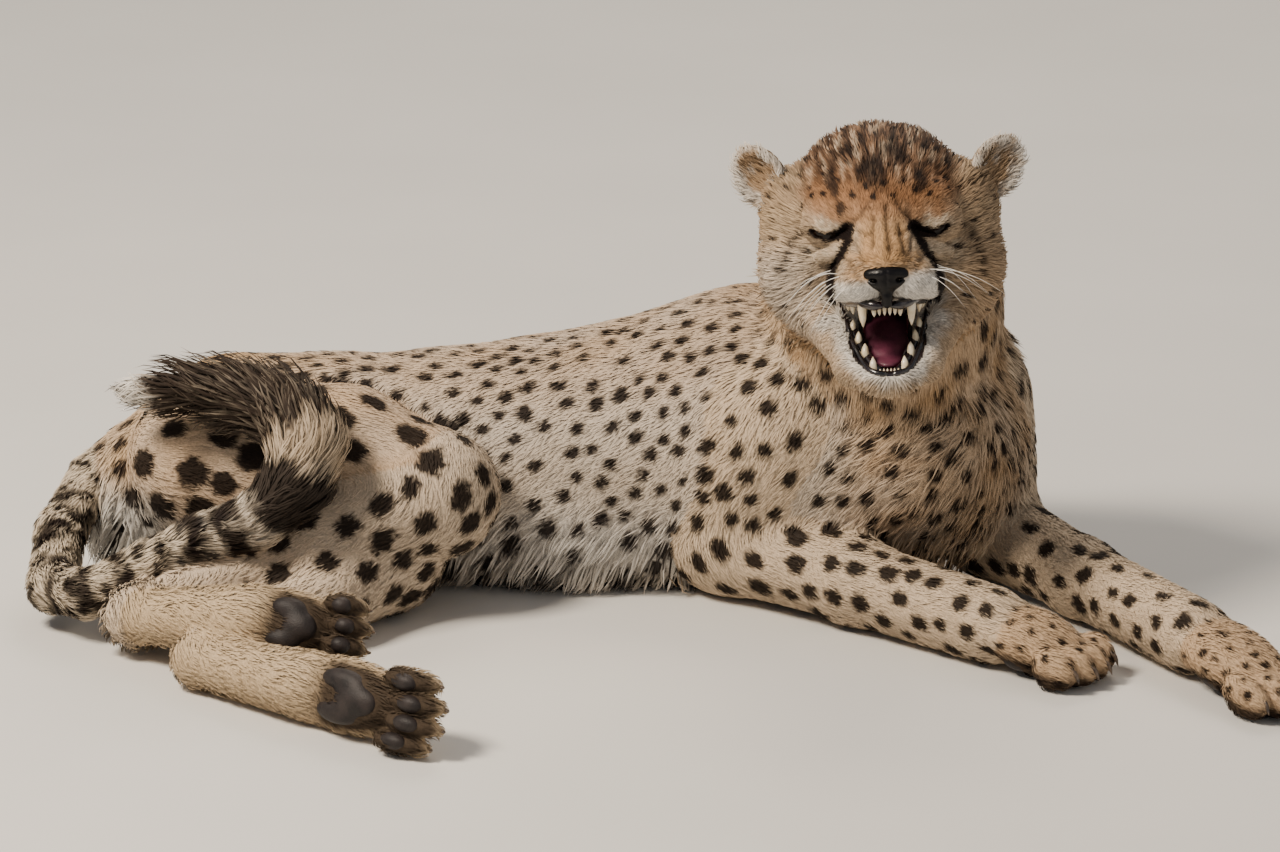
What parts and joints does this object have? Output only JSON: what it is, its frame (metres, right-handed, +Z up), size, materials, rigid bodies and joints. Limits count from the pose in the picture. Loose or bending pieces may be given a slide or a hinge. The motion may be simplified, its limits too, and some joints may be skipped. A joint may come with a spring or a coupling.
{
  "type": "life-size cheetah model",
  "caption": "Still, life-size young cheetah lying down with its forelegs stretched out, its hips rolled to one side, its tail curled forward and its mouth open.",
  "frame": {"origin": "on the floor, under the middle of the whole animal", "axes": "+X from rump to chest, +Z up; the face and the right side of the body look towards -Y"},
  "size_m": [0.9604, 0.566, 0.3787],
  "materials": {
    "coat": "short spotted fur, long and pale on the chest and belly",
    "nose_leather": "moist black leather",
    "tongue": "moist, rough with fine papillae",
    "eye": "clear, wet",
    "enamel": "ivory tooth enamel",
    "horn": "satin claw horn",
    "pad_leather": "dry, pebbled pad skin",
    "whisker": "stiff white hair"
  },
  "bodies": {
    "root": {"head": "coat", "nose": "nose_leather", "lower_jaw": "coat", "tongue": "tongue", "ear_right": "coat", "ear_left": "coat", "eye_right": "eye", "eye_left": "eye", "neck": "coat", "chest": "coat", "abdomen": "coat", "hips": "coat", "upper_arm_right": "coat", "forearm_right": "coat", "forepaw_right": "coat", "upper_arm_left": "coat", "forearm_left": "coat", "forepaw_left": "coat", "thigh_right": "coat", "shank_right": "coat", "hind_foot_right": "coat", "thigh_left": "coat", "shank_left": "coat", "hind_foot_left": "coat", "tail_1": "coat", "tail_2": "coat", "tail_3": "coat", "tail_4": "coat"}
  },
  "joints": []
}
